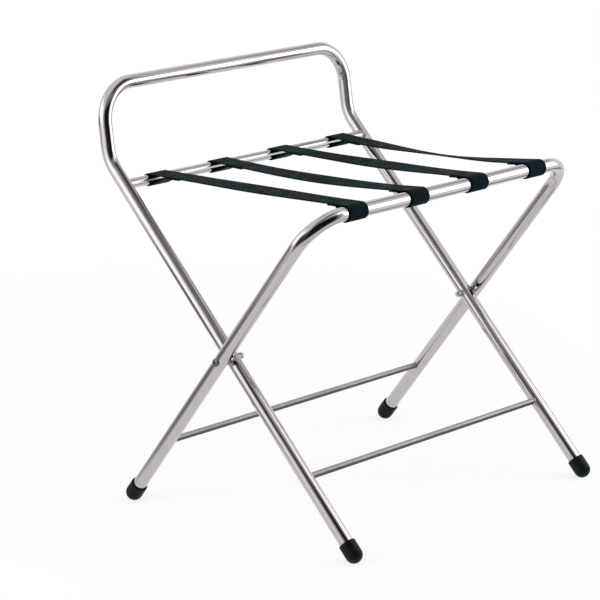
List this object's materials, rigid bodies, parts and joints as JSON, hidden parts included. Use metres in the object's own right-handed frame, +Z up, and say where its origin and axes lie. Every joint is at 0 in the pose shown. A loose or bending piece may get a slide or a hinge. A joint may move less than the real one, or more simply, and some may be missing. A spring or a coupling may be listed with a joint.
{
  "type": "folding luggage rack",
  "caption": "Folding X-frame luggage rack in bright plated tube, with webbing straps between its rails, a hooped back bar that stops the case, low stretchers and rubber feet.",
  "frame": {"origin": "on the floor, in the middle of the rack's box from left to right and from front to back, with the rack standing open", "axes": "+X to the right seen from the front, +Y to the back, where the hoop is, +Z up"},
  "size_m": [0.6282, 0.5602, 0.6636],
  "materials": {
    "frame_chrome": "polished plate",
    "foot_rubber": "matt moulded",
    "strap_webbing": "plain-woven webbing",
    "pivot_steel": "bright zinc"
  },
  "bodies": {
    "back_frame": {"back_frame_tube": "frame_chrome", "rear_rail": "frame_chrome", "front_stretcher": "frame_chrome", "front_foot_left": "foot_rubber", "front_foot_right": "foot_rubber", "strap_left": "strap_webbing", "strap_centre_left": "strap_webbing", "strap_centre_right": "strap_webbing", "strap_right": "strap_webbing", "pivot_bolt_left": "pivot_steel", "pivot_bolt_right": "pivot_steel", "pivot_spacer_left": "pivot_steel", "pivot_spacer_right": "pivot_steel", "nut_washer_left": "pivot_steel", "nut_washer_right": "pivot_steel", "cap_nut_left": "pivot_steel", "cap_nut_right": "pivot_steel"},
    "front_frame": {"front_frame_tube": "frame_chrome", "rear_stretcher": "frame_chrome", "rear_foot_left": "foot_rubber", "rear_foot_right": "foot_rubber"}
  },
  "joints": [
    {"name": "fold", "type": "hinge", "parent": "back_frame", "child": "front_frame", "pos_m": [0, -0.01471, 0.267], "axis": [-1, 0, 0], "range_deg": [0, 77], "deforming": ["strap_left", "strap_centre_left", "strap_centre_right", "strap_right"]}
  ]
}
